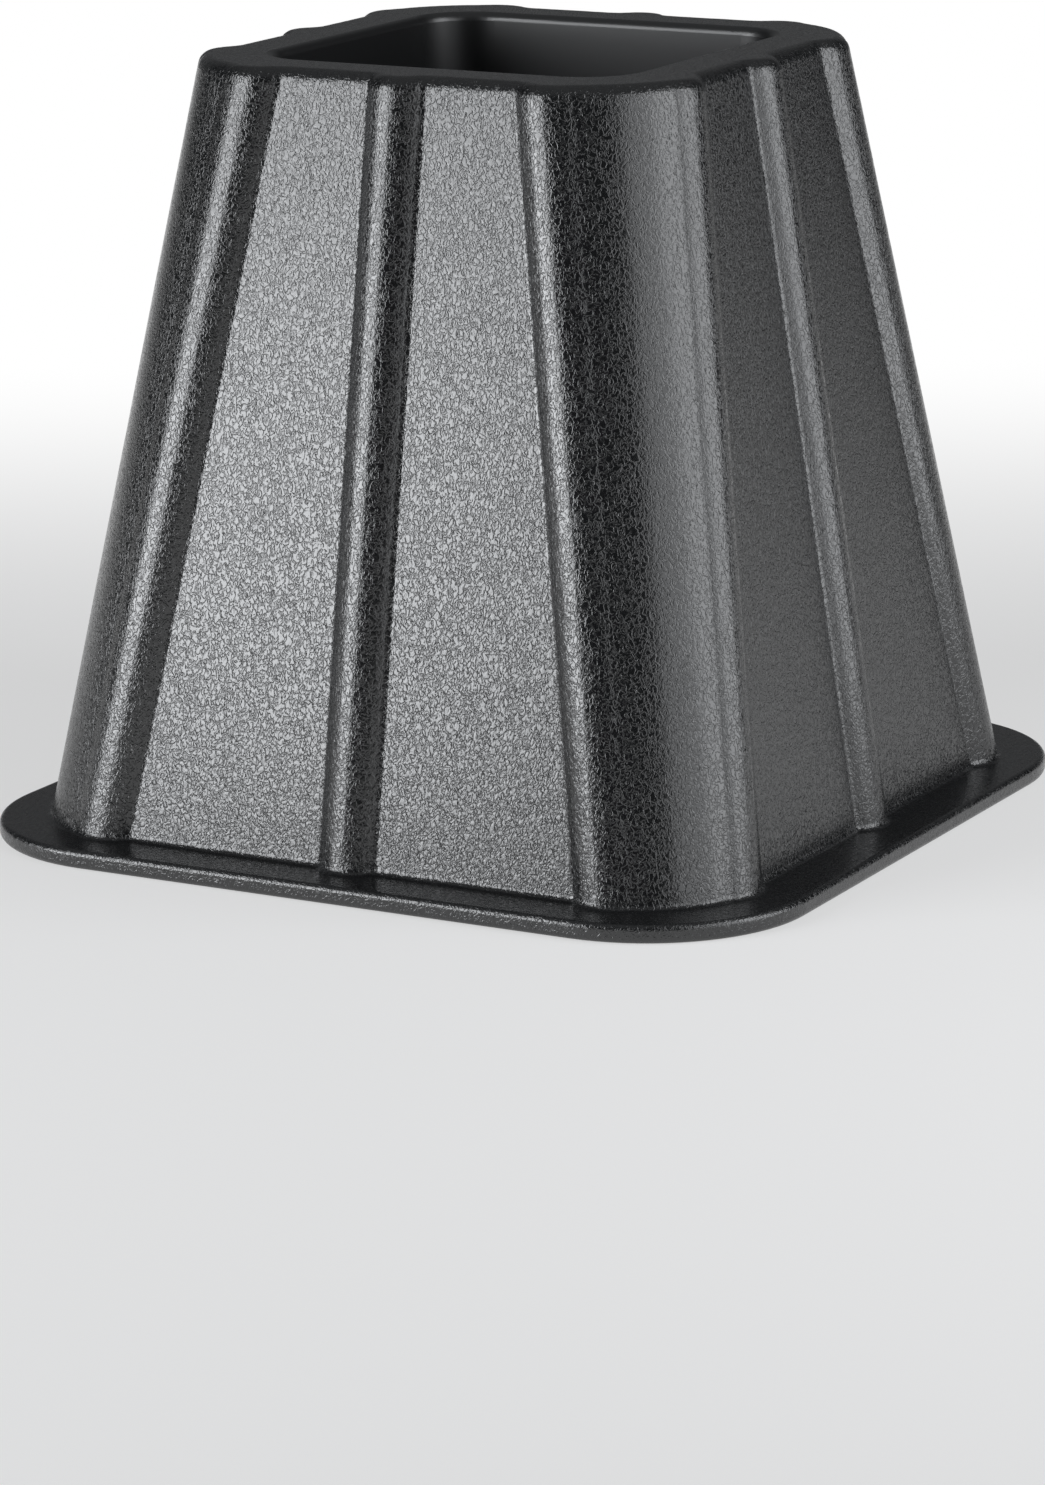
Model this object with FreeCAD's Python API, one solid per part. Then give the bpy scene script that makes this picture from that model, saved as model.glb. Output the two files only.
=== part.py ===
import FreeCAD, Part
import math
import os

# A bed riser moulded in one piece, standing on its flange, +Z up, origin at the centre of the base.

# The tapered shell: widths are measured across two opposite flat panels
height = 157.0
foot_width = 154.4
top_width = 105.4
wall = 3.0

# The flange round the foot, which stands out past the flat panels by the overhang
flange_overhang = 11.8
flange_thickness = 3.8
flange_corner_radius = 34.0
flange_edge_radius = 1.2

# The half-round ribs: one down the middle of each side and one beside each corner
middle_rib_rise = 3.2
middle_rib_width = 12.0
corner_rib_rise = 2.5
corner_rib_width = 12.5
corner_rib_setback = 20.5
rib_foot_radius = 1.5

# The bowed corners between two corner ribs
corner_radius = 27.1
corner_cut = 8.1

# The recess that takes the leg of the bed
recess_width = 79.4
recess_depth = 32.0
recess_corner_radius = 11.0
recess_draft = 1.0
recess_wall = 2.6
recess_floor = 3.5
recess_floor_radius = 2.5

# Rounded edges
rim_radius = 3.0
lip_radius = 1.7
shell_foot_radius = 1.2

# Sizes that follow from the ones above
flange_width = foot_width + 2.0 * flange_overhang
middle_rib_radius = (middle_rib_width ** 2 / 4.0 + middle_rib_rise ** 2) / (2.0 * middle_rib_rise)
corner_rib_radius = (corner_rib_width ** 2 / 4.0 + corner_rib_rise ** 2) / (2.0 * corner_rib_rise)
slope = (foot_width - top_width) / 2.0 / (height - flange_thickness)
deck_underside = height - wall
recess_floor_top = height - recess_depth
recess_floor_underside = recess_floor_top - recess_floor


def panel_half(z):
    return foot_width / 2.0 - slope * (z - flange_thickness)


def bow(centre, radius, start, end):
    middle = (start + end) * 0.5 - centre
    middle.normalize()
    return Part.Arc(start, centre + middle * radius, end).toShape()


def between(first, first_radius, second, second_radius):
    share = first_radius / (first_radius + second_radius)
    return first + (second - first) * share


def turned(point, quarter):
    return FreeCAD.Rotation(FreeCAD.Vector(0, 0, 1), 90.0 * quarter).multVec(point)


def mirrored(point):
    return FreeCAD.Vector(-point.y, -point.x, point.z)


# The outline of the shell at one height, moved inward by inset
def outline(z, inset):
    half = panel_half(z)
    foot_line = -half - rib_foot_radius

    middle_centre = FreeCAD.Vector(0, -half - middle_rib_rise + middle_rib_radius, z)
    drop = middle_centre.y - foot_line
    reach = math.sqrt((middle_rib_radius + rib_foot_radius) ** 2 - drop ** 2)
    middle_foot = FreeCAD.Vector(reach, foot_line, z)
    middle_foot_left = FreeCAD.Vector(-reach, foot_line, z)

    rib_line = -half - corner_rib_rise + corner_rib_radius
    corner_rib_centre = FreeCAD.Vector(half - corner_rib_setback, rib_line, z)
    drop = corner_rib_centre.y - foot_line
    reach = math.sqrt((corner_rib_radius + rib_foot_radius) ** 2 - drop ** 2)
    corner_foot = FreeCAD.Vector(corner_rib_centre.x - reach, foot_line, z)

    nose = half - (corner_cut + corner_radius) / math.sqrt(2.0)
    corner_centre = FreeCAD.Vector(nose, -nose, z)
    rib_reach = corner_rib_radius + rib_foot_radius
    corner_reach = corner_radius + rib_foot_radius
    span = corner_centre - corner_rib_centre
    along = (rib_reach ** 2 - corner_reach ** 2 + span.Length ** 2) / (2.0 * span.Length)
    across = math.sqrt(rib_reach ** 2 - along ** 2)
    span.normalize()
    outward = FreeCAD.Vector(span.y, -span.x, 0)
    outer_foot = corner_rib_centre + span * along + outward * across

    rib = middle_rib_radius - inset
    corner_rib = corner_rib_radius - inset
    foot = rib_foot_radius + inset
    corner = corner_radius - inset
    down = FreeCAD.Vector(0, foot, 0)
    a = middle_foot_left + down
    b = between(middle_foot_left, foot, middle_centre, rib)
    c = between(middle_foot, foot, middle_centre, rib)
    d = middle_foot + down
    e = corner_foot + down
    f = between(corner_foot, foot, corner_rib_centre, corner_rib)
    g = between(outer_foot, foot, corner_rib_centre, corner_rib)
    h = between(outer_foot, foot, corner_centre, corner)

    edges = []
    for quarter in range(4):
        for kind, centre, radius, start, end in (
            ("arc", middle_foot_left, foot, a, b),
            ("arc", middle_centre, rib, b, c),
            ("arc", middle_foot, foot, c, d),
            ("line", None, 0, d, e),
            ("arc", corner_foot, foot, e, f),
            ("arc", corner_rib_centre, corner_rib, f, g),
            ("arc", outer_foot, foot, g, h),
            ("arc", corner_centre, corner, h, mirrored(h)),
            ("arc", mirrored(outer_foot), foot, mirrored(h), mirrored(g)),
            ("arc", mirrored(corner_rib_centre), corner_rib, mirrored(g), mirrored(f)),
            ("arc", mirrored(corner_foot), foot, mirrored(f), mirrored(e)),
            ("line", None, 0, mirrored(e), turned(a, 1)),
        ):
            start = turned(start, quarter)
            end = turned(end, quarter)
            if kind == "line":
                edges.append(Part.makeLine(start, end))
            else:
                edges.append(bow(turned(centre, quarter), radius, start, end))
    return Part.Wire(edges)


def rounded_square(width, radius, z):
    half = width / 2.0
    flat = half - radius
    edges = []
    for quarter in range(4):
        start = FreeCAD.Vector(-flat, -half, z)
        corner_start = FreeCAD.Vector(flat, -half, z)
        corner_end = FreeCAD.Vector(half, -flat, z)
        centre = FreeCAD.Vector(flat, -flat, z)
        start = turned(start, quarter)
        corner_start = turned(corner_start, quarter)
        corner_end = turned(corner_end, quarter)
        edges.append(Part.makeLine(start, corner_start))
        edges.append(bow(turned(centre, quarter), radius, corner_start, corner_end))
    return Part.Wire(edges)


def edges_at(shape, z, inside, outside):
    found = []
    for edge in shape.Edges:
        box = edge.BoundBox
        if abs(box.ZMin - z) > 0.001 or abs(box.ZMax - z) > 0.001:
            continue
        middle = edge.valueAt((edge.FirstParameter + edge.LastParameter) / 2.0)
        reach = max(abs(middle.x), abs(middle.y))
        if inside < reach < outside:
            found.append(edge)
    return found


# The tapered shell with its rounded rim
body = Part.makeLoft([outline(0.0, 0.0), outline(height, 0.0)], True, True)
body = body.makeFillet(rim_radius, edges_at(body, height, 0.0, flange_width))

# The flange round the foot
plate = Part.Face(rounded_square(flange_width, flange_corner_radius, 0.0))
flange = plate.extrude(FreeCAD.Vector(0, 0, flange_thickness))
flange_edges = edges_at(flange, 0.0, 0.0, flange_width)
flange_edges += edges_at(flange, flange_thickness, 0.0, flange_width)
flange = flange.makeFillet(flange_edge_radius, flange_edges)
body = body.fuse(flange)
foot_reach = panel_half(flange_thickness) + middle_rib_rise + shell_foot_radius
body = body.makeFillet(shell_foot_radius, edges_at(body, flange_thickness, 0.0, foot_reach))

# The hollow inside follows the outside at one wall thickness
hollow = Part.makeLoft([outline(0.0, wall), outline(deck_underside, wall)], True, True)
body = body.cut(hollow)

# The recess for the leg hangs below the rim
spread = 2.0 * math.tan(math.radians(recess_draft))
recess_foot_width = recess_width - spread * recess_depth
cup_width = recess_width + 2.0 * recess_wall
cup_foot_width = cup_width - spread * (height - recess_floor_underside)
cup_radius = recess_corner_radius + recess_wall
cup_top = rounded_square(cup_width, cup_radius, height - lip_radius)
cup_foot = rounded_square(cup_foot_width, cup_radius, recess_floor_underside)
cup = Part.makeLoft([cup_foot, cup_top], True, True)
body = body.fuse(cup)
pocket_top = rounded_square(recess_width, recess_corner_radius, height)
pocket_foot = rounded_square(recess_foot_width, recess_corner_radius, recess_floor_top)
pocket = Part.makeLoft([pocket_foot, pocket_top], True, True)
pocket = pocket.makeFillet(recess_floor_radius, edges_at(pocket, recess_floor_top, 0.0, recess_width))
body = body.cut(pocket)
body = body.makeFillet(lip_radius, edges_at(body, height, 0.0, recess_width / 2.0 + 0.01))

riser = body.removeSplitter().Solids[0]
os.makedirs("parts", exist_ok=True)
riser.exportStep("parts/riser.step")
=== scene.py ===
import math
import bpy
from mathutils import Matrix, Vector

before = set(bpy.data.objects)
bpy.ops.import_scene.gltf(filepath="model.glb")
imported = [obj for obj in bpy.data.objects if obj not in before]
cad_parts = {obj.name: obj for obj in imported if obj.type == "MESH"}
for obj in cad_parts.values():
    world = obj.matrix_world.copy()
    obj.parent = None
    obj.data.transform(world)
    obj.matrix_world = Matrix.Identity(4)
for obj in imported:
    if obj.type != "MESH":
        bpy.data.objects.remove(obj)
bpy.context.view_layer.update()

# The riser: one injection moulding in near-black polypropylene, with its flange, ribs, rim and recess in one.
# The mould is etched with a fine leather grain everywhere outside and on the rim. The cores that form the
# recess and the hollow are plain, so the grain runs out on the lip and the walls inside are a smooth satin.
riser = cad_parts["riser"]
near_black = (0.0070, 0.0074, 0.0080, 1.0)
gloss_of_surface = 1.0
satin_roughness = 0.36
grained_roughness = 0.18
groove_dullness = 0.12


class Wire:
    """A socket of a node tree, on which sums are written as Python expressions."""

    def __init__(self, tree, socket):
        self.tree = tree
        self.socket = socket

    def maths(self, operation, *values):
        return node(self.tree, "ShaderNodeMath", {"operation": operation}, dict(enumerate(values)))

    def __add__(self, other):
        return self.maths("ADD", self, other)

    def __radd__(self, other):
        return self.maths("ADD", other, self)

    def __sub__(self, other):
        return self.maths("SUBTRACT", self, other)

    def __rsub__(self, other):
        return self.maths("SUBTRACT", other, self)

    def __mul__(self, other):
        return self.maths("MULTIPLY", self, other)

    def __rmul__(self, other):
        return self.maths("MULTIPLY", other, self)


def node(tree, kind, settings=None, sockets=None, output=0):
    made = tree.nodes.new(kind)
    for name, value in (settings or {}).items():
        setattr(made, name, value)
    for name, value in (sockets or {}).items():
        if isinstance(value, Wire):
            tree.links.new(value.socket, made.inputs[name])
        else:
            made.inputs[name].default_value = value
    return Wire(tree, made.outputs[output]) if made.outputs else None


def vector(tree, operation, *values, output="Vector"):
    return node(tree, "ShaderNodeVectorMath", {"operation": operation}, dict(enumerate(values)), output)


def scaled(tree, value, factor):
    return node(tree, "ShaderNodeVectorMath", {"operation": "SCALE"}, {0: value, "Scale": factor})


def ramp(tree, value, low, high, at_low=0.0, at_high=1.0, easing="LINEAR"):
    limits = {"Value": value, "From Min": low, "From Max": high, "To Min": at_low, "To Max": at_high}
    return node(tree, "ShaderNodeMapRange", {"interpolation_type": easing}, limits)


def smooth_step(tree, value, low, high, at_low=0.0, at_high=1.0):
    return ramp(tree, value, low, high, at_low, at_high, "SMOOTHSTEP")


def turned(tree, normal, start, end):
    spaces = {"vector_type": "NORMAL", "convert_from": start, "convert_to": end}
    return node(tree, "ShaderNodeVectorTransform", spaces, {"Vector": normal})


def upward_part(tree, value):
    return node(tree, "ShaderNodeSeparateXYZ", sockets={"Vector": value}, output="Z")


plastic = bpy.data.materials.new("riser_grained_polypropylene")
plastic.use_nodes = True
tree = plastic.node_tree
tree.nodes.clear()
place = node(tree, "ShaderNodeTexCoord", output="Object")
facing = node(tree, "ShaderNodeTexCoord", output="Normal")
keep_level = (1.0, 1.0, 0.0)

# Where the grain is: past the rounded square of the lip, on what faces outward or up
lip_half = 0.0414
lip_corner = 0.0127
lip_flat = lip_half - lip_corner
grain_starts = lip_corner - 0.0012
grain_is_full = lip_corner + 0.0004
plan = vector(tree, "MULTIPLY", place, keep_level)
quadrant = vector(tree, "ABSOLUTE", plan)
past_flats = vector(tree, "SUBTRACT", quadrant, (lip_flat, lip_flat, 0.0))
past_corner = vector(tree, "MAXIMUM", past_flats, (0.0, 0.0, 0.0))
from_corner = vector(tree, "LENGTH", past_corner, output="Value")
beyond_lip = smooth_step(tree, from_corner, grain_starts, grain_is_full)
outward = vector(tree, "DOT_PRODUCT", facing, plan, output="Value")
outside = smooth_step(tree, outward, -0.012, -0.004)
not_below = smooth_step(tree, upward_part(tree, facing), -0.7, -0.5)
grained = beyond_lip * outside * not_below

# The straight walls: the compass heading of the smooth normal with the slope of the facet, because the smooth
# normals lean up or down on some of the long thin facets there
wall_foot = (0.0052, 0.0062)
wall_top = (0.1536, 0.1526)
true_normal = node(tree, "ShaderNodeNewGeometry", output="True Normal")
facet_rise = upward_part(tree, turned(tree, true_normal, "WORLD", "OBJECT"))
facet_level = node(tree, "ShaderNodeMath", {"operation": "SQRT"}, {0: 1.0 - facet_rise * facet_rise})
wall_heading = vector(tree, "NORMALIZE", vector(tree, "MULTIPLY", facing, keep_level))
wall_slope = node(tree, "ShaderNodeCombineXYZ", sockets={"Z": facet_rise})
wall_normal = vector(tree, "ADD", scaled(tree, wall_heading, facet_level), wall_slope)
above_floor = upward_part(tree, place)
on_wall = outside * smooth_step(tree, above_floor, *wall_foot) * smooth_step(tree, above_floor, *wall_top)
shaded_normal = node(tree, "ShaderNodeMix", {"data_type": "VECTOR"},
                     {0: on_wall, 4: facing, 5: wall_normal}, output=1)
smooth_normal = turned(tree, shaded_normal, "OBJECT", "WORLD")

# The grain: short meandering grooves along the edges of small warped cells, which give way in patches to fine
# threads, with the cells between them slightly domed
grain_pitch = (1000.0, 1000.0, 700.0)
grain_depth = 0.000034
cell_warp = 1.4
groove_width = 0.15
thread_width = 0.065
dome_height = 0.3
dome_width = 0.45
patch_middle = 0.48
patch_blend = 0.06
grain_place = vector(tree, "MULTIPLY", place, grain_pitch)
wander = node(tree, "ShaderNodeTexNoise",
              sockets={"Vector": grain_place, "Scale": 1.3, "Detail": 0.0}, output="Color")
centred = vector(tree, "SUBTRACT", wander, (0.5, 0.5, 0.5))
warped = vector(tree, "ADD", grain_place, scaled(tree, centred, cell_warp))
cells = node(tree, "ShaderNodeTexVoronoi", {"feature": "DISTANCE_TO_EDGE"}, {"Vector": warped, "Scale": 0.9})
patches = node(tree, "ShaderNodeTexNoise", sockets={"Vector": grain_place, "Scale": 1.4, "Detail": 1.0})
worms = node(tree, "ShaderNodeTexNoise", sockets={"Vector": warped, "Scale": 1.0, "Detail": 0.5})
beside_worm = node(tree, "ShaderNodeMath", {"operation": "ABSOLUTE"}, {0: worms - 0.5})
groove_patch = smooth_step(tree, patches, patch_middle - patch_blend, patch_middle)
thread_patch = smooth_step(tree, patches, patch_middle + patch_blend, patch_middle)
grooves = ramp(tree, cells, 0.0, groove_width, 1.0, 0.0) * groove_patch
threads = ramp(tree, beside_worm, 0.0, thread_width, 1.0, 0.0) * thread_patch
sunk = node(tree, "ShaderNodeMath", {"operation": "MAXIMUM"}, {0: grooves, 1: threads})
relief = (dome_height * smooth_step(tree, cells, 0.0, dome_width) - sunk) * grained
bump = node(tree, "ShaderNodeBump",
            sockets={"Strength": 1.0, "Distance": grain_depth, "Height": relief, "Normal": smooth_normal})
roughness = satin_roughness + grained * (groove_dullness * sunk - (satin_roughness - grained_roughness))

shader = node(tree, "ShaderNodeBsdfPrincipled",
              sockets={"Base Color": near_black, "Specular IOR Level": gloss_of_surface,
                       "Roughness": roughness, "Normal": bump})
node(tree, "ShaderNodeOutputMaterial", sockets={"Surface": shader})
for slot in riser.material_slots:
    slot.material = plastic

# The floor: one wide sheet of plain white studio paper. Round the riser half of what is seen is lit paper,
# which takes the shadow, and behind the riser it turns evenly white to the eye and in reflections. Far out to
# the sides it is greyer, so that the riser mirrors less of it.
reach = 6.0
paper_colour = (0.8, 0.8, 0.8, 1.0)
plain_white = (1.0, 1.0, 1.0, 1.0)
to_the_back = (-0.4749, 0.8801, 0.0)
to_the_side = (0.8801, 0.4749, 0.0)
corners = [(-reach, -reach, 0), (reach, -reach, 0), (reach, reach, 0), (-reach, reach, 0)]
floor_mesh = bpy.data.meshes.new("studio_paper")
floor_mesh.from_pydata(corners, [], [(0, 1, 2, 3)])
floor = bpy.data.objects.new("studio_paper", floor_mesh)
bpy.context.collection.objects.link(floor)
paper = bpy.data.materials.new("studio_paper")
paper.use_nodes = True
tree = paper.node_tree
tree.nodes.clear()
spot = node(tree, "ShaderNodeTexCoord", output="Object")
away = vector(tree, "DOT_PRODUCT", spot, to_the_back, output="Value")
aside = vector(tree, "DOT_PRODUCT", spot, to_the_side, output="Value")
off_middle = node(tree, "ShaderNodeMath", {"operation": "ABSOLUTE"}, {0: aside})
camera_ray = node(tree, "ShaderNodeLightPath", output="Is Camera Ray")
glossy_ray = node(tree, "ShaderNodeLightPath", output="Is Glossy Ray")
through_ray = node(tree, "ShaderNodeLightPath", output="Is Transmission Ray")
seen = node(tree, "ShaderNodeMath", {"operation": "ADD", "use_clamp": True},
            {0: camera_ray + glossy_ray, 1: through_ray})
white_behind = smooth_step(tree, away, 0.12, 0.5, 0.5, 1.0)
grey_aside = smooth_step(tree, off_middle, 0.9, 0.4, 0.4, 1.0)
whiteness = white_behind * grey_aside * seen
lit_paper = node(tree, "ShaderNodeBsdfDiffuse", sockets={"Color": paper_colour})
white_sheet = node(tree, "ShaderNodeEmission", sockets={"Color": plain_white, "Strength": 1.0})
paper_surface = node(tree, "ShaderNodeMixShader", sockets={"Fac": whiteness, 1: lit_paper, 2: white_sheet})
node(tree, "ShaderNodeOutputMaterial", sockets={"Surface": paper_surface})
floor_mesh.materials.append(paper)

# The light: a softbox in front on the left and a weaker one close by on the right, each with a second lamp
# that makes a part of it brighter. The room round them is dim, and its back wall and ceiling are a little
# brighter than the rest.
cool_white = (0.955, 0.975, 1.0)
room_colour = (*cool_white, 1.0)
world = bpy.data.worlds.new("studio")
world.use_nodes = True
tree = world.node_tree
tree.nodes.clear()
direction = node(tree, "ShaderNodeTexCoord", output="Generated")
climb = upward_part(tree, direction)
backward = vector(tree, "DOT_PRODUCT", direction, to_the_back, output="Value")
dim_walls = node(tree, "ShaderNodeBackground", sockets={"Color": room_colour, "Strength": 0.02})
back_wall = node(tree, "ShaderNodeBackground", sockets={"Color": room_colour, "Strength": 0.13})
ceiling = node(tree, "ShaderNodeBackground", sockets={"Color": room_colour, "Strength": 0.2})
at_back = smooth_step(tree, backward, 0.7, 0.9)
overhead = smooth_step(tree, climb, 0.5, 0.8)
walls = node(tree, "ShaderNodeMixShader", sockets={"Fac": at_back, 1: dim_walls, 2: back_wall})
studio = node(tree, "ShaderNodeMixShader", sockets={"Fac": overhead, 1: walls, 2: ceiling})
node(tree, "ShaderNodeOutputWorld", sockets={"Surface": studio})
bpy.context.scene.world = world


def softbox(name, azimuth, distance, height, width, tall, radiance):
    lamp = bpy.data.lights.new(name, "AREA")
    lamp.color = cool_white
    lamp.shape = "RECTANGLE"
    lamp.size = width
    lamp.size_y = tall
    lamp.energy = radiance * math.pi * width * tall
    angle = math.radians(azimuth)
    middle = Vector((math.sin(angle) * distance, -math.cos(angle) * distance, height))
    holder = bpy.data.objects.new(name, lamp)
    holder.location = middle
    holder.rotation_euler = (middle - Vector((0, 0, height))).to_track_quat("Z", "Y").to_euler()
    bpy.context.collection.objects.link(holder)


softbox("left_softbox", azimuth=-38.5, distance=0.9, height=0.36, width=0.62, tall=0.7, radiance=4.8)
softbox("left_softbox_middle", azimuth=-39.0, distance=0.88, height=0.11, width=0.48, tall=0.2, radiance=3.6)
softbox("right_softbox", azimuth=85.0, distance=0.45, height=0.27, width=0.54, tall=0.52, radiance=1.4)
softbox("right_softbox_middle", azimuth=99.0, distance=0.44, height=0.27, width=0.28, tall=0.5, radiance=1.8)

# The camera stands where the photograph was taken from, with its small tilt, and keeps its frame. Its lens
# was found in pixels of that frame, which is 1485 of them high.
azimuth = math.radians(28.35)
elevation = math.radians(14.45)
tilt = math.radians(-0.522)
distance = 1.1726
aim = Vector((0.0, 0.0, 0.01183))
shift = 0.00191
film_height = 36.0
lens_pixels = 5656.6
frame_pixels = 1485.0
level_reach = math.cos(elevation)
back = Vector((math.sin(azimuth) * level_reach, -math.cos(azimuth) * level_reach, math.sin(elevation)))
level = Vector((math.cos(azimuth), math.sin(azimuth), 0.0))
rise = back.cross(level)
across = math.cos(tilt) * level + math.sin(tilt) * rise
upward = -math.sin(tilt) * level + math.cos(tilt) * rise
camera_data = bpy.data.cameras.new("camera")
camera_data.sensor_fit = "VERTICAL"
camera_data.sensor_height = film_height
camera_data.lens = film_height * lens_pixels / frame_pixels
camera_data.clip_start = 0.05
camera = bpy.data.objects.new("camera", camera_data)
turn = Matrix((across, upward, back)).transposed().to_4x4()
camera.matrix_world = Matrix.Translation(aim - shift * across + distance * back) @ turn
bpy.context.collection.objects.link(camera)
bpy.context.scene.camera = camera
bpy.context.scene.view_settings.view_transform = "Standard"
